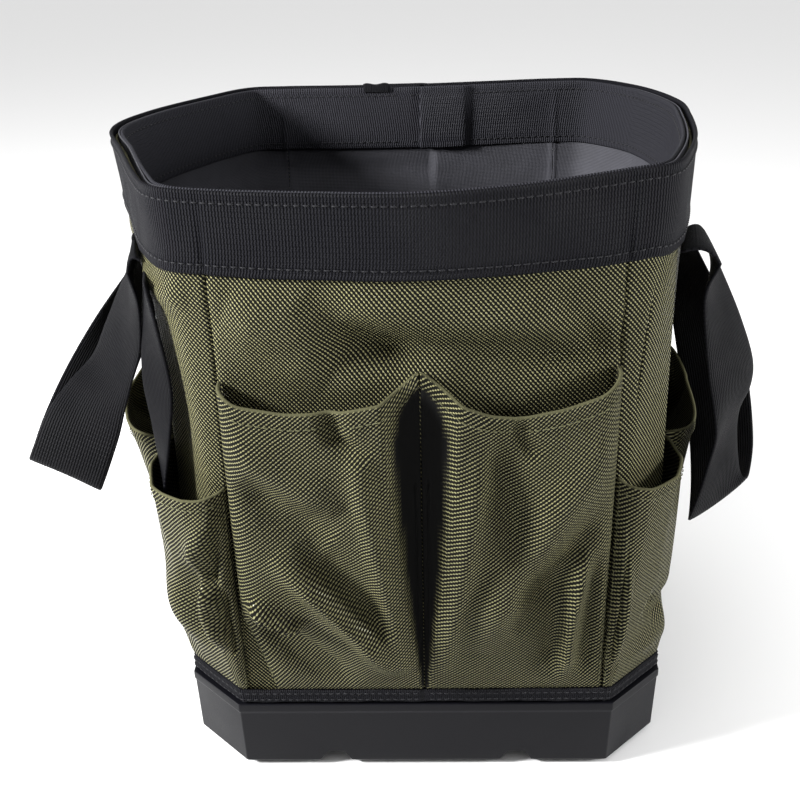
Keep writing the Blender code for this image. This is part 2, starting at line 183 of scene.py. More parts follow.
def relief(station, height, creases, mounds=()):
    """The sum of a list of creases and a list of mounds."""
    total = sum(crease(station, height, *row) for row in creases)
    return total + sum(mound(station, height, *row) for row in mounds)


def ripple(station, height, seed, scale, amount):
    """Gentle unevenness that closes round the bag."""
    rng = np.random.RandomState(seed)
    total = np.zeros(np.broadcast(station, height).shape)
    for _ in range(9):
        turns = rng.randint(2, 3 + int(60 / scale))
        rise = rng.uniform(-40, 40) / scale
        phase = rng.uniform(0, 2 * math.pi)
        total = total + np.sin(2 * math.pi * (turns * station / STATIONS + rise * height) + phase)
    return amount * total / 3


PANEL_SEAMS = (2, 10, 14, 22)
WALL_CREASES = (
    ([(21.6, 266), (20.6, 262), (19.8, 270)], 5, 0.0016, 0.3),
    ([(3.0, 266), (2.75, 236), (2.6, 205)], 3.5, -0.0014, 0.6),
    ([(22.2, 262), (22.6, 252), (23.2, 236)], 15, 0.0062, 0.1),
    ([(22.9, 268), (23.5, 250), (23.9, 226)], 11, -0.0056, 0.2),
    ([(23.8, 268), (0.3, 256), (0.8, 236)], 12, 0.0036, 0.15),
    ([(0.3, 232), (0.9, 226), (1.6, 238)], 9, -0.0036, 0.2),
    ([(1.2, 268), (1.55, 252), (1.85, 232)], 8, -0.004, 0.3),
)
WALL_MOUNDS = (
    ((20.35, 205), (16, 34), -0.0052),
    ((0.95, 256), (28, 11), 0.007),
    ((0.9, 239), (32, 9), -0.007),
    ((23.6, 262), (30, 10), 0.006),
    ((23.7, 242), (34, 9), -0.0085),
)


def sag(station, height):
    """How the whole wall departs from its even loft. Every layer shares it."""
    low = np.clip((height - 0.055) / 0.05, 0, 1)
    top = np.clip((0.318 - height) / 0.03, 0.25, 1)
    out = ripple(station, height, 3, 14.0, 0.0008) + ripple(station, height, 31, 26.0, 0.0010)
    out = out + relief(station, height, WALL_CREASES, WALL_MOUNDS)
    for seam in PANEL_SEAMS:
        away = stations_from(station, seam) * STATION_MM
        out = out - 0.0010 * np.exp(-((away / 2.2) ** 2)) * top
    return out * low


# ---- mesh making


def add_object(name, data):
    obj = bpy.data.objects.new(name, data)
    bpy.context.scene.collection.objects.link(obj)
    return obj


def add_mesh(name, points, faces, uv, material, body="bag"):
    """An object from points, faces and a cloth coordinate for each point."""
    mesh = bpy.data.meshes.new(name)
    mesh.from_pydata(np.asarray(points).tolist(), [], faces)
    layer = mesh.uv_layers.new(name="cloth")
    index = np.zeros(len(mesh.loops), int)
    mesh.loops.foreach_get("vertex_index", index)
    layer.data.foreach_set("uv", np.asarray(uv, np.float32)[index].ravel())
    mesh.materials.append(material)
    mesh.shade_smooth()
    obj = add_object(name, mesh)
    if body:
        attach(obj, body)
    return obj


def normals(grid):
    """The outward direction at each point of a grid."""
    across = np.gradient(grid, axis=1)
    up = np.gradient(grid, axis=0)
    normal = np.cross(across, up)
    return normal / np.maximum(np.linalg.norm(normal, axis=2, keepdims=True), 1e-9)


def lengths(line):
    """How far along a line each of its points is."""
    return np.concatenate([[0], np.cumsum(np.linalg.norm(np.diff(line, axis=0), axis=1))])


def lengths_uv(grid):
    """Cloth coordinates in metres: along each row from its middle, and the mean way up."""
    steps = np.linalg.norm(np.diff(grid, axis=1), axis=2)
    u = np.concatenate([np.zeros((len(grid), 1)), np.cumsum(steps, axis=1)], axis=1)
    u = u - u[:, -1:] / 2
    rises = np.linalg.norm(np.diff(grid, axis=0), axis=2).mean(axis=1)
    v = np.concatenate([[0], np.cumsum(rises)])[:, None] + np.zeros_like(u)
    return np.stack([u, v], -1)


def border(rows, cols):
    """The places round the edge of a grid, in order."""
    ring = [(0, c) for c in range(cols)]
    ring += [(r, cols - 1) for r in range(1, rows)]
    ring += [(rows - 1, c) for c in range(cols - 2, -1, -1)]
    return ring + [(r, 0) for r in range(rows - 2, 0, -1)]


def shade(obj, name, field):
    """Stores a value from 0 to 1 at each point of a sheet, from a grid of them."""
    edge = [field[r, c] for r, c in border(*field.shape)]
    values = np.concatenate([field.ravel(), field.ravel(), edge]).astype(np.float32)
    obj.data.attributes.new(name, "FLOAT", "POINT").data.foreach_set("value", values)


def sheet(name, grid, thickness, material, body="bag", uv=None, back_material=None):
    """A closed sheet about a grid of middle points, with rounded edges."""
    rows, cols = grid.shape[:2]
    half = thickness / 2
    thick = np.asarray(half)[..., None] if np.ndim(half) else half
    normal = normals(grid)
    front, back = grid + normal * thick, grid - normal * thick
    ring = border(rows, cols)
    edge = []
    for r, c in ring:
        inner = grid[min(max(r, 1), rows - 2), min(max(c, 1), cols - 2)]
        away = grid[r, c] - inner
        size = np.linalg.norm(away)
        h = half[r, c] if np.ndim(half) else half
        edge.append(grid[r, c] + away / max(size, 1e-9) * h * 0.8)
    uv = lengths_uv(grid) if uv is None else uv
    points = np.concatenate([front.reshape(-1, 3), back.reshape(-1, 3), np.array(edge)])
    coords = uv.reshape(-1, 2)
    coords = np.concatenate([coords, coords, [uv[r, c] for r, c in ring]])
    n = rows * cols
    faces = []
    for r in range(rows - 1):
        for c in range(cols - 1):
            a = r * cols + c
            faces.append((a, a + 1, a + cols + 1, a + cols))
    front_count = len(faces)
    faces += [tuple(n + i for i in reversed(face)) for face in faces]
    for k, (r, c) in enumerate(ring):
        j = (k + 1) % len(ring)
        a = r * cols + c
        b = ring[j][0] * cols + ring[j][1]
        faces.append((b, a, 2 * n + k, 2 * n + j))
        faces.append((n + a, n + b, 2 * n + j, 2 * n + k))
    obj = add_mesh(name, points, faces, coords, material, body)
    if back_material:
        obj.data.materials.append(back_material)
        flags = np.zeros(len(faces), np.int32)
        flags[front_count : 2 * front_count] = 1
        obj.data.polygons.foreach_set("material_index", flags)
    return obj


def span(first, last, step_mm=2.4):
    """Stations from first to last, about a step apart."""
    count = int((last - first) * STATION_MM / step_mm)
    return np.linspace(first, last, count + 1)


# ---- materials


class Shader:
    """A small helper that builds one material's nodes."""

    def __init__(self, name, roughness, specular):
        self.material = bpy.data.materials.new(name)
        self.material.use_nodes = True
        self.tree = self.material.node_tree
        self.bsdf = self.tree.nodes["Principled BSDF"]
        self.bsdf.inputs["Roughness"].default_value = roughness
        self.bsdf.inputs["Specular IOR Level"].default_value = specular

    def node(self, kind, **settings):
        made = self.tree.nodes.new(kind)
        for key, value in settings.items():
            setattr(made, key, value)
        return made

    def put(self, socket, value):
        if isinstance(value, bpy.types.NodeSocket):
            self.tree.links.new(value, socket)
        else:
            socket.default_value = value

    def math(self, operation, a, b=0.0, c=0.0):
        made = self.node("ShaderNodeMath", operation=operation)
        for socket, value in zip(made.inputs, (a, b, c)):
            self.put(socket, value)
        return made.outputs[0]

    def cloth_uv(self):
        made = self.node("ShaderNodeUVMap", uv_map="cloth")
        parts = self.node("ShaderNodeSeparateXYZ")
        self.put(parts.inputs[0], made.outputs[0])
        return made.outputs[0], parts.outputs[0], parts.outputs[1]

    def position(self):
        return self.node("ShaderNodeTexCoord").outputs["Object"]

    def noise(self, vector, scale, detail, roughness=0.5):
        made = self.node("ShaderNodeTexNoise")
        self.put(made.inputs["Vector"], vector)
        self.put(made.inputs["Scale"], scale)
        self.put(made.inputs["Detail"], detail)
        self.put(made.inputs["Roughness"], roughness)
        return made.outputs[0]

    def wave(self, coordinate, pitch):
        return self.math("SINE", self.math("MULTIPLY", coordinate, 2 * math.pi / pitch))

    def ramp(self, value, low, high, to_low=0.0, to_high=1.0):
        made = self.node("ShaderNodeMapRange", interpolation_type="SMOOTHSTEP")
        for socket, number in zip(made.inputs, (value, low, high, to_low, to_high)):
            self.put(socket, number)
        return made.outputs[0]

    def mix(self, share, a, b):
        made = self.node("ShaderNodeMix", data_type="RGBA")
        self.put(made.inputs[0], share)
        self.put(made.inputs[6], a if isinstance(a, bpy.types.NodeSocket) else (*a, 1.0))
        self.put(made.inputs[7], b if isinstance(b, bpy.types.NodeSocket) else (*b, 1.0))
        return made.outputs[2]

    def bump(self, height, distance, strength, after=None):
        made = self.node("ShaderNodeBump")
        self.put(made.inputs["Height"], height)
        made.inputs["Distance"].default_value = distance
        made.inputs["Strength"].default_value = strength
        if after is not None:
            self.put(made.inputs["Normal"], after)
        return made.outputs[0]

    def finish(self, colour, normal=None, roughness=None, sheen=0.0, tint=(1, 1, 1)):
        self.put(self.bsdf.inputs["Base Color"], colour)
        if normal is not None:
            self.put(self.bsdf.inputs["Normal"], normal)
        if roughness is not None:
            self.put(self.bsdf.inputs["Roughness"], roughness)
        self.bsdf.inputs["Sheen Weight"].default_value = sheen
        self.bsdf.inputs["Sheen Roughness"].default_value = 0.45
        self.bsdf.inputs["Sheen Tint"].default_value = (*tint, 1.0)
        return self.material


def scaled(colour, factor):
    return tuple(c * factor for c in colour)


# the weave's near-black and mid gap tones are painted shade between the yarn crowns
OLIVE_DARK = (0.0012, 0.0012, 0.0004)
OLIVE_MID = (0.0110, 0.0110, 0.0036)
OLIVE_LIGHT = (0.170, 0.161, 0.078)
OLIVE_FOLD = (0.062, 0.060, 0.031)
# painted shade: the near-black colour laid on a pleat's deep side walls
PLEAT_PAINTED_SHADE = (0.0003, 0.0003, 0.0002)
BLUISH = (0.8, 0.82, 0.9)


def olive_weave(name, across_pitch, up_pitch, slant, lift=1.0):
    """Coarse ballistic weave: glossy slanted yarn crowns in a checker over gaps painted near black
    as shade between the yarns.

    The "fold" attribute turns it into the plain cloth of a hem's edge, and "dark" paints the
    deep side wall of a pleat near black, as painted shade.
    """
    s = Shader(name, 0.5, 0.14)
    uv, u, v = s.cloth_uv()
    wobble = s.noise(uv, 90.0, 2.0)
    uneven_u = s.math("MULTIPLY_ADD", wobble, 0.0005, u)
    uneven_v = s.math("MULTIPLY_ADD", wobble, -0.0005, v)
    across = s.math("MULTIPLY", uneven_u, 2 * math.pi / across_pitch)
    up = s.math("MULTIPLY", uneven_v, 2 * math.pi / up_pitch)
    rising = s.math("COSINE", s.math("SUBTRACT", across, up))
    falling = s.math("MULTIPLY", s.math("COSINE", s.math("ADD", across, up)), 0.5 - slant)
    checker = s.math("MULTIPLY_ADD", rising, 0.5 + slant, falling)
    yarn = s.noise(uv, 1300.0, 1.0)
    crown = s.ramp(s.math("MULTIPLY_ADD", yarn, 0.40, checker), 0.06, 0.98)
    slow = s.noise(uv, 22.0, 3.0)
    light = s.mix(slow, scaled(OLIVE_LIGHT, 0.80 * lift), scaled(OLIVE_LIGHT, 1.15 * lift))
    # painted shade: the low parts of the checker go near black
    low = s.mix(s.ramp(crown, 0.0, 0.5), OLIVE_DARK, scaled(OLIVE_MID, lift))
    colour = s.mix(s.ramp(crown, 0.35, 0.95), low, light)
    fold = s.node("ShaderNodeAttribute", attribute_name="fold").outputs["Fac"]
    colour = s.mix(fold, colour, s.mix(yarn, scaled(OLIVE_FOLD, 0.6), scaled(OLIVE_FOLD, 1.3)))
    # painted shade: where the "dark" attribute is set, the pleat's side wall is painted near black
    mark = s.node("ShaderNodeAttribute", attribute_name="dark").outputs["Fac"]
    colour = s.mix(mark, colour, PLEAT_PAINTED_SHADE)
    plain = s.math("MULTIPLY", s.math("SUBTRACT", 1.0, fold), s.math("SUBTRACT", 1.0, mark))
    raised = s.math("MULTIPLY", crown, plain)
    rough = s.ramp(raised, 0.0, 1.0, 0.95, 0.28)
    return s.finish(colour, s.bump(raised, 0.00060, 1.0), rough)


def webbing(name, base, rib=0.0014):
    """Flat woven webbing: fine ribs, a faint cross weave and a little lint, with the rib valleys
    painted darker as shade.
    """
    s = Shader(name, 0.62, 0.07)
    uv, u, v = s.cloth_uv()
    ribs = s.wave(u, rib)
    zigzag = s.math("MULTIPLY", s.wave(v, rib * 1.7), 0.9)
    weave = s.math("SINE", s.math("ADD", s.math("MULTIPLY", u, 2 * math.pi / rib), zigzag))
    height = s.math("MULTIPLY_ADD", s.wave(v, rib * 0.85), 0.30, s.math("ADD", ribs, weave))
    lint = s.noise(uv, 900.0, 3.0)
    slow = s.noise(uv, 30.0, 3.0)
    # painted shade: colour follows rib height, darker in the valleys, with random tone from slow
    # noise
    share = s.ramp(s.math("MULTIPLY_ADD", slow, 0.7, height), -1.6, 2.4)
    colour = s.mix(share, scaled(base, 0.45), scaled(base, 1.75))
    colour = s.mix(s.ramp(lint, 0.68, 0.78, 0.0, 0.5), colour, scaled(base, 2.6))
    normal = s.bump(height, 0.00016, 0.8)
    return s.finish(colour, normal, s.ramp(slow, 0.3, 0.7, 0.55, 0.72), 0.008, BLUISH)


def plain_cloth(name, base):
    """Thin black lining: a fine plain weave with faint creases."""
    s = Shader(name, 0.72, 0.3)
    uv, u, v = s.cloth_uv()
    threads = s.math("ADD", s.wave(u, 0.0009), s.wave(v, 0.0009))
    slow = s.noise(uv, 26.0, 4.0)
    share = s.ramp(s.math("MULTIPLY_ADD", threads, 0.22, slow), 0.1, 0.9)
    colour = s.mix(share, scaled(base, 0.6), scaled(base, 1.45))
    creased = s.bump(slow, 0.004, 0.35)
    return s.finish(colour, s.bump(threads, 0.00008, 0.7, creased), None, 0.02, BLUISH)


def moulded(name, base):
    """Charcoal moulded plastic: fine grain, faint flow marks, scuffs, and lighter edges that are
    partly wear and partly a painted highlight.
    """
    s = Shader(name, 0.40, 0.12)
    where = s.position()
    grain = s.noise(where, 1400.0, 2.0)
    slow = s.noise(where, 18.0, 3.0)
    scuff = s.noise(where, 160.0, 5.0, 0.7)
    colour = s.mix(slow, scaled(base, 0.9), scaled(base, 1.12))
    colour = s.mix(s.ramp(scuff, 0.66, 0.78, 0.0, 0.35), colour, scaled(base, 2.2))
    # edges found by pointiness are lightened: partly wear, partly a painted highlight on the bevels
    geometry = s.node("ShaderNodeNewGeometry")
    rubbed_and_highlit = s.ramp(geometry.outputs["Pointiness"], 0.53, 0.60, 0.0, 0.55)
    colour = s.mix(rubbed_and_highlit, colour, scaled(base, 2.4))
    rough = s.ramp(s.math("MULTIPLY_ADD", grain, 0.4, slow), 0.4, 1.0, 0.38, 0.52)
    return s.finish(colour, s.bump(grain, 0.00010, 0.5), rough)


def thread(name, base):
    """Sewing thread with an uneven lay."""
    s = Shader(name, 0.6, 0.12)
    lay = s.noise(s.position(), 2600.0, 2.0)
    colour = s.mix(lay, scaled(base, 0.7), scaled(base, 1.3))
    return s.finish(colour, s.bump(lay, 0.0001, 0.5), None, 0.1)


OLIVE = olive_weave("olive_weave", 0.0023, 0.0021, 0.20)
# the walls' weave runs the other way, and lift 1.25 makes it a lighter copy of the pocket cloth:
# painted light
OLIVE_WALL_PAINTED_LIGHT = olive_weave("olive_wall_weave_painted_light", 0.00210, 0.0023, -0.18, lift=1.25)
# the pocket cloth's inside faces: an unslanted weave made darker by lift 0.55, which is painted
# shade
OLIVE_INSIDE_PAINTED_SHADE = olive_weave("olive_weave_inside_painted_shade", 0.0026, 0.0021, 0.0, lift=0.55)
BAND_WEB = webbing("band_webbing", (0.0024, 0.0024, 0.0038))
# the inner band is the same webbing as the outer band, painted several times brighter: painted
# light
INNER_WEB_PAINTED_LIGHT = webbing("inner_band_webbing_painted_light", (0.0150, 0.0150, 0.0185))
HANDLE_WEB = webbing("handle_webbing", (0.0010, 0.0010, 0.0017))
BINDING_WEB = webbing("binding_tape", (0.0036, 0.0036, 0.0048), rib=0.0010)
LINING_CLOTH = plain_cloth("black_lining", (0.0340, 0.0340, 0.0410))
TRAY = moulded("tray_plastic", (0.0022, 0.0022, 0.0034))
BOARD = moulded("board_plastic", (0.030, 0.030, 0.032))
OLIVE_THREAD = thread("olive_thread", (0.070, 0.070, 0.034))
BLACK_THREAD = thread("black_thread", (0.007, 0.007, 0.009))

# ---- pieces


def replace(obj, slot, *nodes):
    """Hides the CAD nodes that a piece stands in for."""
    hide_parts(*nodes)


def rise_rows(foot, top, step_mm=2.4):
    """Shares from 0 at the foot to 1 at the top, as a column, about a step apart."""
    count = int((top - foot) * 1000 / step_mm)
    return np.linspace(0, 1, count + 1)[:, None]


def front_band_foot(station):
    """The outer band's lower edge, which is lowest at the middle of the front."""
    places = [-3.2, -2.2, -1.2, -0.3, 0.8, 1.7, 2.5, 3.3]
    rises = [1.5, 1.5, 0.8, 0.6, 0.6, 1.2, 3.0, 1.5]
    return BAND_FOOT + np.interp(stations_from(station, 0), places, rises) / 1000


MOUTH_LEVEL = 0.313
LINING_FOOT = 0.0168
SIDES = {"front": (-2, 2), "right": (2, 10), "back": (10, 14), "left": (14, 22)}


def build_walls():
    for side, (first, last) in SIDES.items():
        s = span(first + 0.012, last - 0.012)[None, :]
        mouth = mouth_height(s)
        z = WALL_FOOT + rise_rows(WALL_FOOT, MOUTH_LEVEL) * (mouth - 0.0030 - WALL_FOOT)
        outer = wall(s, z, sag(s, z) - CLOTH / 2)
        cut = lengths_uv(wall(s, z, 0))
        panel = sheet(f"{side}_wall", outer, CLOTH, OLIVE_WALL_PAINTED_LIGHT, uv=cut)
        replace(panel, "olive_cloth", f"{side}_panel")
        z = LINING_FOOT + rise_rows(LINING_FOOT, MOUTH_LEVEL) * (mouth - 0.0008 - LINING_FOOT)
        tuck = 0.0012 * np.clip(ripple(s, z, 11, 9.0, 1.0), -1, 0.1)
        tuck = tuck * np.clip((z - 0.05) / 0.03, 0, 1)
        inner = wall(s, z, sag(s, np.maximum(z, WALL_FOOT)) - 0.0022 + tuck)
        lining = sheet(f"{side}_inner_wall", inner, LINING, LINING_CLOTH)
        replace(lining, "lining_cloth", f"{side}_lining")


def build_floor():
    """The lining's floor: a square with cut corners."""
    half = 0.1175
    cut = half - CORNER_CUT * 0.98
    lines = np.linspace(-half, half, 61)
    x, y = np.meshgrid(lines, lines)
    over = np.abs(x) + np.abs(y) - (half + cut)
    shift = np.clip(over, 0, None) / 2
    x, y = x - np.sign(x) * shift, y - np.sign(y) * shift
    z = 0.0160 + 0.0006 * np.sin(x * 60 + 1) * np.sin(y * 47) * np.sin(x * 31 + y * 23)
    grid = np.stack([x, y, z], -1)
    replace(sheet("floor_cloth", grid, LINING, LINING_CLOTH), "lining_cloth", "bottom_lining")


def band_ring(name, node, material, foot_of, out, first, last, pinch, top_drop=0.0):
    """Webbing round the mouth, from one end to the other with its lap over the start.

    Its face is at a distance out from the wall, and its two rows of stitches pinch it.
    """
    inward = -np.sign(out)
    s = span(first, last, 1.8)[None, :]
    foot, top = foot_of(s), mouth_height(s) - top_drop
    rows = np.linspace(0, 1, 25)[:, None]
    z = foot + rows * (top - foot)
    lap = last - first - STATIONS
    step = np.clip((s - (last - lap - 0.14)) / 0.12, 0, 1)
    step = step * step * (3 - 2 * step) * 0.0023
    sewn = np.exp(-((rows - 0.06) / 0.05) ** 2) + np.exp(-((rows - 0.93) / 0.04) ** 2)
    away = out + inward * (BAND / 2 - step + pinch * sewn)
    band = sheet(name, wall(s, z, sag(s, z) + away), BAND, material)
    replace(band, "black_webbing", node)


def build_bands():
    band_ring("rim_webbing_outer", "rim_band_outer", BAND_WEB, front_band_foot, 0.0024,
              12, 36.6, 0.00035)
    band_ring("rim_webbing_inner", "rim_band_inner", INNER_WEB_PAINTED_LIGHT, lambda s: BAND_FOOT + 0 * s,
              -0.0050, 11.4, 36.0, 0.00025, top_drop=0.0008)


def closed_ring(name, rows, material):
    """A closed ring through rows of points that go up its outer side and down its inner one."""
    count = rows[0].shape[0]
    points = np.concatenate(rows)
    faces = []
    for r in range(len(rows)):
        below, above = r * count, (r + 1) % len(rows) * count
        for c in range(count):
            d = (c + 1) % count
            faces.append((below + c, below + d, above + d, above + c))
    u = lengths(rows[0])
    uv = np.concatenate([np.stack([u, np.full(count, row[0, 2])], -1) for row in rows])
    return add_mesh(name, points, faces, uv, material)


# the binding's outline: height, and distance out from the wall
BINDING_PROFILE = (
    (0.0418, 0.0010), (0.0421, 0.0020), (0.0430, 0.0026), (0.0445, 0.0028), (0.0460, 0.0023),
    (0.0475, 0.0027), (0.0490, 0.0026), (0.0499, 0.0020), (0.0501, 0.0011), (0.0480, 0.0006),
    (0.0440, 0.0006),
)


def build_binding():
    s = np.arange(0, STATIONS, 0.05)
    rows = []
    for z, out in BINDING_PROFILE:
        wave = 0.0002 * np.sin(s * 7.3) + 0.00015 * np.sin(s * 19.1 + 1)
        rows.append(wall(s, np.full_like(s, z) + wave, np.full_like(s, out)))
    replace(closed_ring("foot_binding", rows, BINDING_WEB), "black_webbing", "base_binding")


FRONT_LEFT_CREASES = (
    ([(22.5, 142), (22.95, 118), (23.35, 94), (23.72, 64)], 7, 0.0085, 0.15),
    ([(22.8, 150), (23.2, 124), (23.6, 92)], 10, -0.005, 0.1),
    ([(22.15, 112), (22.45, 104), (22.72, 96)], 4.5, 0.01, 0.4),
    ([(22.15, 102), (22.5, 88), (22.95, 66), (23.2, 54)], 9, -0.0075, 0.1),
    ([(22.2, 182), (22.6, 164), (23.1, 150)], 11, -0.0055, 0.1),
    ([(23.1, 220), (23.2, 205), (23.5, 196)], 5, -0.005, 0.3),
    ([(23.34, 216), (23.45, 175), (23.62, 120), (23.8, 60)], 5, 0.0045, 0.15),
    ([(22.2, 205), (22.6, 186), (23.2, 168)], 9, 0.004, 0.1),
)
FRONT_RIGHT_CREASES = (
    ([(1.66, 140), (1.56, 100), (1.54, 52)], 3.5, 0.0075, 0.6),
    ([(1.8, 140), (1.76, 100), (1.76, 60)], 5, -0.006, 0.3),
    ([(1.36, 130), (1.38, 96), (1.38, 60)], 8, -0.0045, 0.2),
    ([(0.55, 210), (0.75, 186), (0.95, 150), (1.05, 110)], 10, -0.006, 0.1),
    ([(1.8, 200), (1.4, 168), (0.95, 128), (0.6, 80)], 10, 0.006, 0.1),
    ([(1.85, 168), (1.45, 136), (1.00, 92)], 8, -0.004, 0.1),
    ([(0.9, 213), (0.95, 203), (1.1, 192)], 4, -0.0035, 0.3),
    ([(0.62, 214), (0.52, 175), (0.36, 120), (0.18, 60)], 5, 0.004, 0.15),
)
LEFT_CORNER_CREASES = (
    ([(21.75, 160), (21.35, 148), (20.95, 130)], 8, 0.005, 0.1),
    ([(21.85, 150), (21.5, 136), (21.2, 116)], 7, -0.006, 0.1),
    ([(21.3, 124), (21.15, 104), (21.3, 80)], 8, 0.0056, 0.1),
    ([(21.65, 118), (21.5, 100), (21.6, 76)], 8, -0.006, 0.1),
    ([(20.9, 128), (20.6, 104), (20.9, 78)], 10, -0.0044, 0.1),
)
RIGHT_CORNER_CREASES = (
    ([(2.25, 160), (2.35, 120), (2.3, 84)], 6, 0.003, 0.3),
    ([(2.6, 134), (2.75, 100), (2.7, 66)], 5, 0.0026, 0.5),
    ([(2.48, 124), (2.5, 96), (2.5, 68)], 5, -0.0028, 0.3),
    ([(3.4, 96), (3.8, 84), (4.2, 90)], 7, -0.0034, 0.2),
)
LEFT_CORNER_MOUND = ((20.3, 92), (20, 18), 0.004)
RIGHT_CORNER_MOUND = ((3.7, 66), (22, 9), 0.0022)


def placed_folds(scale, creases, *mounds):
    """A pocket's folds where they are known."""

    def folds(s, z, *_extent):
        return relief(s, z, creases, mounds) * scale

    return folds


def made_up_folds(seed):
    """A pocket's folds where they aren't seen, from a fixed seed."""
    rng = np.random.RandomState(seed)
    lines = []
    for _ in range(6):
        a = rng.uniform(0.12, 0.88)
        r = rng.uniform(0.15, 0.75)
        lean = rng.uniform(-0.28, 0.28)
        drop = rng.uniform(0.16, 0.34)
        size = rng.uniform(5, 11)
        amount = rng.uniform(0.0026, 0.0056) * rng.choice([-1, 1])
        lines.append((a, r, lean, drop, size, amount, rng.uniform(0.1, 0.6)))

    def folds(s, z, first, last, hem):
        width, foot, rise = last - first, POCKET_FOOT * 1000, (hem - POCKET_FOOT) * 1000
        creases = []
        for a, r, lean, drop, size, amount, sharp in lines:
            high, low = foot + min(r + drop, 0.95) * rise, foot + max(r - drop, 0.06) * rise
            start = first + np.clip(a + lean, 0.06, 0.94) * width
            end = first + np.clip(a - lean, 0.06, 0.94) * width
            middle = ((start + end) / 2 + 0.04 * width, (high + low) / 2)
            creases.append(([(start, high), middle, (end, low)], size, amount, sharp))
        return relief(s, z, creases)

    return folds


# places across a pocket, from 0 to 1, and its hem's heights there in mm
FRONT_RIGHT_HEM = ([0, .06, .17, .30, .45, .67, .86, 1], [232, 228, 220, 215, 213, 216, 221, 229])
FRONT_LEFT_HEM = ([0, .14, .38, .64, .84, .94, 1], [226, 220, 217, 218, 222, 227, 232])
BACK_RIGHT_HEM = ([0, .14, .38, .64, .84, .94, 1], [228, 221, 217, 218, 222, 227, 231])
BACK_LEFT_HEM = ([0, .06, .17, .30, .45, .67, .86, 1], [231, 228, 221, 217, 215, 216, 221, 228])
SIDE_HEM = 0.169
SIDE_HEM_CURVE = ([0.0, 0.12, 0.45, 0.70, 0.90, 1.0], [3.0, 0.5, -2.5, -2.0, 0.0, 2.0])  # rises

# node: first and last station, depth, belly (how much deeper it is below its hem), hem, folds
POCKETS = {
    "front_pocket_right": (0.10, 1.96, 0.013, 1.45, FRONT_RIGHT_HEM,
                           placed_folds(1.2, FRONT_RIGHT_CREASES)),
    "front_pocket_left": (22.04, 23.90, 0.013, 1.45, FRONT_LEFT_HEM,
                          placed_folds(1.3, FRONT_LEFT_CREASES)),
    "right_front_corner_pocket": (2.06, 4.40, 0.013, 1.0, SIDE_HEM,
                                  placed_folds(1.7, RIGHT_CORNER_CREASES, RIGHT_CORNER_MOUND)),
    "right_middle_pocket": (4.48, 7.52, 0.019, 1.0, SIDE_HEM, made_up_folds(21)),
    "right_rear_corner_pocket": (7.60, 9.94, 0.014, 1.0, SIDE_HEM, made_up_folds(22)),
    "back_pocket_right": (10.06, 11.90, 0.013, 1.45, BACK_RIGHT_HEM, made_up_folds(23)),
    "back_pocket_left": (12.10, 13.94, 0.013, 1.45, BACK_LEFT_HEM, made_up_folds(24)),
    "left_rear_corner_pocket": (14.06, 16.40, 0.016, 1.0, SIDE_HEM, made_up_folds(25)),
    "left_middle_pocket": (16.48, 19.52, 0.026, 1.0, SIDE_HEM, made_up_folds(26)),
    "left_front_corner_pocket": (19.60, 21.94, 0.019, 1.0, SIDE_HEM,
                                 placed_folds(2.0, LEFT_CORNER_CREASES, LEFT_CORNER_MOUND)),
}

# which edge of a pocket has a pleat: 0 is its first station's, 1 its last's
PLEATS = {
    "front_pocket_right": 0, "front_pocket_left": 1, "back_pocket_right": 1, "back_pocket_left": 0,
}
PLEAT_GAP = 0.085
SEWN_OUT = 0.0014  # how far from the wall a pocket's cloth is sewn down

# where across a corner pocket its hem stands out most
CORNER_APEX = {"left_front_corner_pocket": 0.36, "right_front_corner_pocket": 0.64}


def hem_height(hem, across):
    """A hem's height in metres: softened between its places, or a side pocket's usual curve."""
    if not isinstance(hem, tuple):
        places, rises = SIDE_HEM_CURVE
        return hem + np.interp(across, places, rises) / 1000
    places, heights = hem
    fine = np.linspace(0, 1, 401)
    rough = np.interp(fine, places, heights)
    kernel = np.hanning(41)
    half = len(kernel) // 2
    padded = np.concatenate([np.full(half, rough[0]), rough, np.full(half, rough[-1])])
    smooth = np.convolve(padded, kernel / kernel.sum(), "valid")
    return np.interp(across, fine, smooth) / 1000


def from_pleat(name, across):
    """How far across a pocket a place is, counted from its pleat."""
    return across if PLEATS[name] == 0 else 1 - across


def seam_shift(name, across, height):
    """How far a place on a pocket moves along the wall, in stations.

    The left front pocket is drawn in near its foot, and the two edges of a pleat come together.
    """
    shift = 0 * height + 0 * across
    if name == "front_pocket_left":
        shift = shift + 0.30 * np.clip((0.098 - height) / 0.045, 0, 1) ** 0.8 * (1 - across)
    if name in PLEATS:
        towards = 1 if PLEATS[name] else -1
        shift = shift + towards * PLEAT_GAP * (1 - from_pleat(name, across)) ** 6
    return shift


def pocket_edge(name, across, rise):
    """How fully a place on a pocket stands out, from 0 at its seams to 1."""
    plain = np.clip(1 - np.abs(2 * across - 1) ** 4, 0, 1) ** 0.5
    if name in CORNER_APEX:
        apex = CORNER_APEX[name]
        taut = np.clip(np.minimum(across / apex, (1 - across) / (1 - apex)), 0, 1)
        taut = taut**0.85 * (1 - 0.06 * taut**6)
        return plain + (taut - plain) * (0.2 + 0.75 * rise**1.5)
    if name not in PLEATS:
        return plain
    inner = from_pleat(name, across)
    width = np.interp(rise, [0, 0.25, 0.5, 0.72, 0.86, 0.95, 1.0],
                      [0.012, 0.050, 0.095, 0.135, 0.150, 0.150, 0.165])
    at = np.clip(inner / width, 0, 1)
    pleat = at**2.2 * (1 - 0.12 * at) / 0.88
    seam = np.clip(1 - (1 - np.clip((1 - inner) / 0.19, 0, 1)) ** 3, 0, 1) ** 0.6
    return pleat * seam


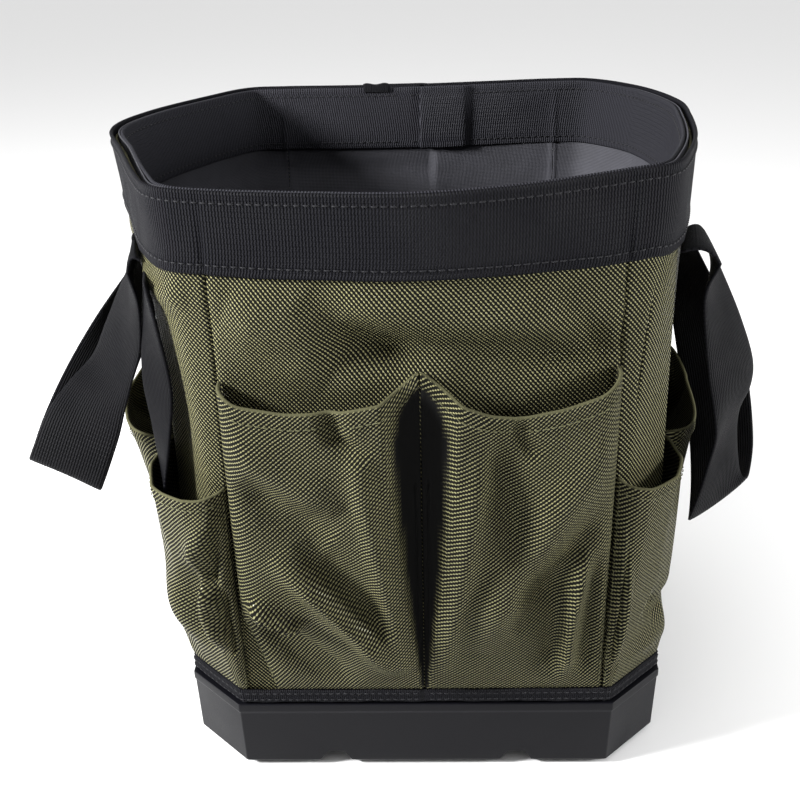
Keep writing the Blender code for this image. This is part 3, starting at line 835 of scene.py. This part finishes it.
def pocket_points(name, across, rise, extra=0.0):
    """Middle points of a pocket's cloth for arrays of places across and up it."""
    first, last, depth, belly, hem, folds = POCKETS[name]
    top = hem_height(hem, across)
    z = POCKET_FOOT + rise * (top - POCKET_FOOT)
    s = first + (last - first) * across + seam_shift(name, across, z)
    swell = rise**0.7 * (belly - (belly - 1.0) * rise**3)
    edge = pocket_edge(name, across, rise)
    detail = folds(s, z, first, last, float(top.max()) if isinstance(hem, tuple) else hem)
    free = edge * np.clip(rise * 8, 0, 1) * np.clip(0.4 + 0.6 * edge, 0, 1)
    out = SEWN_OUT + depth * swell * edge + detail * free + extra
    out = out + (ripple(s, z, 7, 12.0, 0.0004) + ripple(s, z, 17, 30.0, 0.0013)) * free
    return wall(s, z, sag(s, z) * (1 - 0.6 * edge * rise) + np.maximum(out, SEWN_OUT))


def pleat_shade(name, across, rise):
    """How much painted shade each place of a pocket gets: a pleat's deep side wall is painted near
    black.
    """
    inner = from_pleat(name, across)
    edge = pocket_edge(name, across, rise)
    deep = np.interp(rise, [0.0, 0.86, 0.94, 0.985], [0.72, 0.66, 0.40, -0.10])
    return np.clip((deep - edge) / 0.16, 0, 1) * np.clip((0.35 - inner) / 0.05, 0, 1)


HEM_RISE = 0.955  # where a hem's turned edge starts, as a share of its pocket's height


def build_pockets():
    for name, (first, last, depth, *_rest) in POCKETS.items():
        base = np.linspace(0, 1, int((last - first) * 26) + 1)
        turn = 0.10 / (last - first)
        ends = [turn * k / 5 for k in range(6)] + [1 - turn * k / 5 for k in range(6)]
        across = np.unique(np.round(np.concatenate([base, ends]), 4))
        rise = np.unique(np.concatenate([np.linspace(0, 1, 74), [0.99, 0.995]]))
        a, r = np.meshgrid(across, rise)
        grid = pocket_points(name, a, r)
        thickness = CLOTH + 0.0004 * np.clip((r - HEM_RISE) / 0.012, 0, 1)
        cut = lengths_uv(wall(first + (last - first) * a, grid[..., 2], depth * 0.6))
        obj = sheet(f"{name}_cloth", grid, thickness, OLIVE, uv=cut, back_material=OLIVE_INSIDE_PAINTED_SHADE)
        # painted shade in the pleat valleys, carried by the "dark" attribute
        if name in PLEATS:
            shade(obj, "dark", pleat_shade(name, a, r))
        shade(obj, "fold", np.clip((r - 0.995) / 0.004, 0, 1) + 0 * a)
        replace(obj, "olive_cloth", name)


# a stitch's length, the pitch of its row and its radius
FINE_STITCH = (0.0026, 0.0036, 0.00032)
RIM_STITCH = (0.0030, 0.0040, 0.00036)
FOOT_STITCH = (0.0026, 0.0036, 0.0003)

# along a stitch, from 0 to 1: its share of the radius, and its rise in radii
STITCH_PROFILE = ((0.0, 0.35, -0.5), (0.22, 0.9, 0.55), (0.78, 0.9, 0.55), (1.0, 0.35, -0.5))
STITCH_SIDES = 6


def stitches(name, lines, material, size):
    """Rows of thread: a small raised lozenge for each stitch on each line of points and normals."""
    length, pitch, radius = size
    points, faces = [], []
    for path, outs in lines:
        along = lengths(path)
        for start in np.arange(pitch / 2, along[-1] - length, pitch):
            first, last, out = (
                np.array([np.interp(distance, along, column) for column in rows.T])
                for rows, distance in ((path, start), (path, start + length), (outs, start))
            )
            out /= np.linalg.norm(out)
            run = (last - first) / np.linalg.norm(last - first)
            side = np.cross(out, run)
            base = len(points)
            for share, thick, rise in STITCH_PROFILE:
                centre = first + (last - first) * share + out * radius * rise
                for k in range(STITCH_SIDES):
                    turn = k * 2 * math.pi / STITCH_SIDES
                    away = math.cos(turn) * side + math.sin(turn) * out
                    points.append(centre + radius * thick * away)
            for low in range(base, len(points) - STITCH_SIDES, STITCH_SIDES):
                for c in range(STITCH_SIDES):
                    d = (c + 1) % STITCH_SIDES
                    high = low + STITCH_SIDES
                    faces.append((low + c, low + d, high + d, high + c))
            faces.append(tuple(reversed(range(base, base + STITCH_SIDES))))
            faces.append(tuple(range(len(points) - STITCH_SIDES, len(points))))
    return add_mesh(name, np.array(points), faces, np.zeros((len(points), 2)), material)


def stitch_line(points_at, out):
    """A line of points at a distance out, and its normals, from the same line 1 mm further."""
    path = points_at(out)
    away = points_at(out + 0.001) - path
    return path, away / np.linalg.norm(away, axis=1, keepdims=True)


def build_stitching():
    hems, seams = [], []
    for name in POCKETS:
        across = np.linspace(0.03, 0.97, 160)
        rise = np.full_like(across, 0.957)
        hems.append(stitch_line(lambda out: pocket_points(name, across, rise, out), 0.0011))
        for side in (0, 1):
            if PLEATS.get(name) == side:
                continue
            rise = np.linspace(0.02, 0.985, 120)
            near = np.full_like(rise, 0.990 if side else 0.010)
            seams.append(stitch_line(lambda out: pocket_points(name, near, rise, out), 0.0009))
    s = np.linspace(12.3, 36.2, 900)
    outer = [stitch_line(lambda out: wall(s, z, sag(s, z) + out), 0.0024)
             for z in (mouth_height(s) - 0.0045, front_band_foot(s) + 0.0040)]
    inner = [stitch_line(lambda out: wall(s, z, sag(s, z) - out), 0.0050)
             for z in (mouth_height(s) - 0.0050, BAND_FOOT + 0.0035 + 0 * s)]
    round_foot = np.linspace(0.02, 23.98, 900)
    foot = [stitch_line(lambda out: wall(round_foot, z, out), 0.0028) for z in (0.0444, 0.0482)]
    stitches("pocket_hem_stitching", hems, OLIVE_THREAD, FINE_STITCH)
    stitches("pocket_seam_stitching", seams, OLIVE_THREAD, FINE_STITCH)
    stitches("rim_stitching_outer", outer, BLACK_THREAD, RIM_STITCH)
    stitches("rim_stitching_inner", inner, BLACK_THREAD, RIM_STITCH)
    stitches("foot_stitching", foot, BLACK_THREAD, FOOT_STITCH)


# ---- straps

ROOT_Y = 0.081  # the middles of a handle's sewn ends
ROOT_Z = 0.2735
HINGE_Z = 0.267
HINGE_X = {"left": (-0.135, -0.150), "right": (0.137, 0.146)}  # at its front and rear ends

# points along a strap's middle, from its front end to its rear, and the direction across it there
LOOPS = {
    "left": (
        ((-0.135, -0.081, 0.267), (-0.092, 1, 0)),
        ((-0.1385, -0.081, 0.25), (-0.42, 0.91, 0)),
        ((-0.145, -0.081, 0.228), (-0.62, 0.78, 0.05)),
        ((-0.1525, -0.081, 0.211), (-0.66, 0.74, 0.12)),
        ((-0.161, -0.085, 0.198), (-0.84, 0.5, 0.2)),
        ((-0.169, -0.088, 0.183), (-0.92, 0.2, 0.34)),
        ((-0.1775, -0.09, 0.164), (-0.88, 0.05, 0.46)),
        ((-0.1815, -0.086, 0.1565), (-0.88, 0, 0.47)),
        ((-0.1845, -0.07, 0.155), (-0.88, -0.05, 0.46)),
        ((-0.1875, -0.035, 0.16), (-0.9, -0.15, 0.4)),
        ((-0.1865, 0.01, 0.172), (-0.88, -0.35, 0.3)),
        ((-0.178, 0.045, 0.192), (-0.72, -0.62, 0.28)),
        ((-0.163, 0.07, 0.222), (-0.42, -0.9, 0.1)),
        ((-0.1535, 0.08, 0.246), (-0.15, -0.99, 0)),
        ((-0.15, 0.081, 0.267), (0.092, -1, 0)),
    ),
    "right": (
        ((0.137, -0.081, 0.267), (0.055, 1, 0)),
        ((0.1385, -0.081, 0.252), (0.4, 0.92, 0)),
        ((0.145, -0.081, 0.23), (0.6, 0.8, 0)),
        ((0.151, -0.081, 0.208), (0.7, 0.71, 0)),
        ((0.153, -0.081, 0.193), (0.64, 0.77, 0)),
        ((0.152, -0.081, 0.179), (0.5, 0.87, 0)),
        ((0.151, -0.081, 0.164), (0.55, 0.83, 0)),
        ((0.151, -0.081, 0.145), (0.7, 0.71, 0)),
        ((0.152, -0.077, 0.134), (0.8, 0.45, 0.35)),
        ((0.157, -0.062, 0.13), (0.8, 0.15, 0.58)),
        ((0.164, -0.035, 0.135), (0.78, -0.1, 0.6)),
        ((0.168, -0.005, 0.15), (0.78, -0.25, 0.55)),
        ((0.1675, 0.025, 0.173), (0.78, -0.45, 0.35)),
        ((0.162, 0.05, 0.2), (0.62, -0.75, 0.15)),
        ((0.1545, 0.07, 0.226), (0.4, -0.9, 0)),
        ((0.1475, 0.079, 0.249), (0.1, -0.99, 0)),
        ((0.146, 0.081, 0.267), (-0.055, -1, 0)),
    ),
}
STRAP_COLUMNS = 13
TOOL_STRAP = (
    ((-0.124, -0.105, 0.268), (-0.2, 0.98, 0)),
    ((-0.124, -0.1055, 0.245), (-0.45, 0.89, 0)),
    ((-0.124, -0.106, 0.215), (-0.67, 0.74, 0)),
    ((-0.125, -0.1055, 0.19), (-0.5, 0.87, 0)),
    ((-0.1265, -0.105, 0.165), (-0.28, 0.96, 0)),
    ((-0.1265, -0.104, 0.145), (-0.25, 0.97, 0)),
)


def smooth_line(points, steps):
    """A smooth open line through points, with a number of steps between each two."""
    points = np.array(points, float)
    padded = np.vstack([2 * points[0] - points[1], points, 2 * points[-1] - points[-2]])
    line = [spline(*padded[i - 1 : i + 3], k / steps)
            for i in range(1, len(padded) - 2) for k in range(steps)]
    return np.array([*line, points[-1]])


def strap_grid(route, steps, across):
    """Points over a strap, from its route and the distances across it."""
    middle = smooth_line([point for point, _ in route], steps)
    turned = smooth_line([direction for _, direction in route], steps)
    turned /= np.linalg.norm(turned, axis=1, keepdims=True)
    return middle[:, None] + turned[:, None] * across[None, :, None]


def root_rows(side, root_y):
    """Rows of points from a handle's sewn end on the wall, arching over to its hinge line."""
    front_x, rear_x = HINGE_X[side]
    ys = np.linspace(root_y - WEBBING / 2, root_y + WEBBING / 2, STRAP_COLUMNS)
    fine = np.linspace(*((2.5, 9.5) if side == "right" else (14.5, 21.5)), 1500)
    wall_ys = plan(fine, np.full_like(fine, BAND_FOOT))[:, 1]
    order = np.argsort(wall_ys)
    stations = np.interp(ys, wall_ys[order], fine[order])
    end_x = front_x + (rear_x - front_x) * (ys + ROOT_Y) / (2 * ROOT_Y)
    end = np.stack([end_x, ys, np.full_like(ys, HINGE_Z)], -1)
    start = wall(stations, ROOT_Z, sag(stations, np.full_like(ys, ROOT_Z)) + 0.0022)
    rows = []
    for share in np.linspace(0, 1, 9)[:-1]:
        level = start + share * (end - start)
        level[:, 2] = ROOT_Z + 0.0026 * math.sin(math.pi * share * 0.55) - 0.0085 * share**3.2
        rows.append(level)
    return np.array(rows)


def build_handle(side):
    across = np.linspace(-0.5, 0.5, STRAP_COLUMNS)
    loop = strap_grid(LOOPS[side], 8, across * WEBBING)
    front, rear = root_rows(side, -ROOT_Y), root_rows(side, ROOT_Y)
    grid = np.concatenate([front, loop, rear[::-1, ::-1]])
    along = np.linspace(0, 1, len(grid))[:, None]
    cup = 0.0009 * np.sin(along * 21) * (1 - (2 * across) ** 2)
    cup = cup * np.clip((along * (1 - along)) * 14 - 1, 0, 1)
    grid = grid + normals(grid) * cup[..., None]
    v = lengths(grid[:, STRAP_COLUMNS // 2])
    uv = np.stack(np.meshgrid(across * WEBBING, v), -1)
    if side == "left":
        grid, uv = grid[:, ::-1], uv[:, ::-1]
    thickness = 0.0022 - 0.0007 * np.abs(2 * across) ** 6 + np.zeros((len(grid), 1))
    obj = sheet(f"{side}_handle_strap", grid, thickness, HANDLE_WEB, body=None, uv=uv)
    nodes = [f"{side}_handle", f"{side}_handle_front_anchor", f"{side}_handle_rear_anchor"]
    replace(obj, "black_webbing", *nodes)
    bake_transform(obj)


def build_tool_strap():
    grid = strap_grid(TOOL_STRAP, 10, np.linspace(-0.5, 0.5, 9) * TOOL_WEBBING)
    replace(sheet("hanging_strap", grid, BAND, HANDLE_WEB), "black_webbing", "tool_strap")


def build_inner_pocket():
    """A flat pocket on the lining of the back."""
    a, r = np.meshgrid(np.linspace(0, 1, 60), np.linspace(0, 1, 40))
    s = 10.4 + 3.2 * a
    z = 0.075 + r * (0.140 + 0.012 * np.cos(2 * math.pi * a) - 0.006)
    middle = np.sin(math.pi * a)
    out = -0.0035 - 0.0042 * middle * r - 0.0006 * np.sin(9 * a + 4 * r) * middle
    obj = sheet("inner_pocket_cloth", wall(s, z, sag(s, z) + out), LINING, LINING_CLOTH)
    replace(obj, "lining_cloth", "inner_pocket")


def build_rim_tab():
    """A small tab folded over the back of the rim."""
    a, r = np.meshgrid(np.linspace(0, 1, 16), np.linspace(0, 1, 18))
    s = 12.45 + 0.36 * a
    z = 0.3105 + r * (0.0046 + 0.0004 * np.sin(a * 9))
    tab = sheet("rim_tab", wall(s, z, sag(s, z) - 0.0056 - 0.0004 * r), 0.0010, BINDING_WEB)


def build_tray():
    """A copy of the CAD tray with its moulded edges rounded, and the CAD board as it is."""
    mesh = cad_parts["base_tray"].data.copy()
    mesh.name = "moulded_tray"
    bm = bmesh.new()
    bm.from_mesh(mesh)
    bmesh.ops.remove_doubles(bm, verts=bm.verts, dist=1e-5)
    bmesh.ops.dissolve_limit(bm, angle_limit=math.radians(1), verts=bm.verts, edges=bm.edges)
    sharp = [e for e in bm.edges
             if len(e.link_faces) == 2 and e.calc_face_angle(0) > math.radians(12)]
    bmesh.ops.bevel(bm, geom=sharp, offset=0.0016, segments=3, profile=0.6, affect="EDGES",
                    clamp_overlap=True)
    bmesh.ops.triangulate(bm, faces=[f for f in bm.faces if len(f.verts) > 4])
    bm.to_mesh(mesh)
    bm.free()
    mesh.materials.clear()
    mesh.materials.append(TRAY)
    mesh.shade_smooth()
    mesh.set_sharp_from_angle(angle=math.radians(28))
    tray = add_object("moulded_tray", mesh)
    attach(tray, "bag")
    replace(tray, "tray_plastic", "base_tray")
    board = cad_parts["base_board"]
    board.data.materials.clear()
    board.data.materials.append(BOARD)


# ---- stage and view


def build_stage():
    """A wide pale floor, just under the tray."""
    reach = 15
    mesh = bpy.data.meshes.new("floor")
    corners = [(-reach, -reach, 0), (reach, -reach, 0), (reach, reach, 0), (-reach, reach, 0)]
    mesh.from_pydata(corners, [], [(0, 1, 2, 3)])
    mesh.materials.append(Shader("pale_floor", 0.9, 0.1).finish((0.74, 0.74, 0.74, 1.0)))
    floor = add_object("floor", mesh)
    floor.location.z = -0.0005


def softbox(name, place, size, power):
    """A round softbox turned to the middle of the bag."""
    data = bpy.data.lights.new(name, "AREA")
    data.shape = "DISK"
    data.size = size
    data.energy = power
    light = add_object(name, data)
    light.location = place
    direction = Vector((0, 0, 0.15)) - Vector(place)
    light.rotation_euler = direction.to_track_quat("-Z", "Y").to_euler()


# height of a direction's end on the unit ball, from and to, and the world's strength there
SKY_BANDS = ((0.25, 0.90, 0.03, 1.50), (0.09, 0.20, 0.72, 0.03))


def build_lights():
    """A world that is pale at the horizon, dim above it and bright overhead, and two softboxes."""
    world = bpy.data.worlds.new("studio")
    world.use_nodes = True
    background = world.node_tree.nodes["Background"]
    background.inputs[0].default_value = (1.0, 1.0, 1.0, 1.0)
    nodes, links = world.node_tree.nodes, world.node_tree.links
    where = nodes.new("ShaderNodeTexCoord")
    parts = nodes.new("ShaderNodeSeparateXYZ")
    links.new(where.outputs["Generated"], parts.inputs[0])
    brightest = nodes.new("ShaderNodeMath")
    brightest.operation = "MAXIMUM"
    for place, steps in enumerate(SKY_BANDS):
        band = nodes.new("ShaderNodeMapRange")
        band.interpolation_type = "SMOOTHSTEP"
        for socket, number in zip(list(band.inputs)[1:5], steps):
            socket.default_value = number
        links.new(parts.outputs[2], band.inputs[0])
        links.new(band.outputs[0], brightest.inputs[place])
    links.new(brightest.outputs[0], background.inputs[1])
    bpy.context.scene.world = world
    bpy.context.scene.view_settings.view_transform = "Standard"
    softbox("left_softbox", (-1.18, -0.46, 0.74), 0.32, 62.0)
    softbox("right_softbox", (1.25, -0.32, 0.42), 0.34, 20.0)


def build_camera():
    """A camera at the usual catalogue view: from the front, a little above the rim."""
    yaw, pitch, roll = (math.radians(d) for d in (-1.70, 24.28, -1.35))
    ahead = Vector((math.sin(yaw), math.cos(yaw), 0.0))
    right = Vector((math.cos(yaw), -math.sin(yaw), 0.0))
    view = ahead * math.cos(pitch) - Vector((0, 0, 1)) * math.sin(pitch)
    up = Vector((0, 0, 1)) * math.cos(pitch) + ahead * math.sin(pitch)
    x_axis = right * math.cos(roll) + up * math.sin(roll)
    y_axis = up * math.cos(roll) - right * math.sin(roll)
    data = bpy.data.cameras.new("camera")
    data.sensor_width = 36.0
    data.lens = 51.65
    camera = add_object("camera", data)
    turn = Matrix((x_axis, y_axis, -view)).transposed()
    camera.matrix_world = Matrix.Translation((0.0049, -0.5995, 0.4273)) @ turn.to_4x4()
    bpy.context.scene.camera = camera


build_tray()
build_walls()
build_floor()
build_bands()
build_binding()
build_pockets()
build_inner_pocket()
build_rim_tab()
build_stitching()
build_handle("left")
build_handle("right")
build_tool_strap()
build_stage()
build_lights()
build_camera()
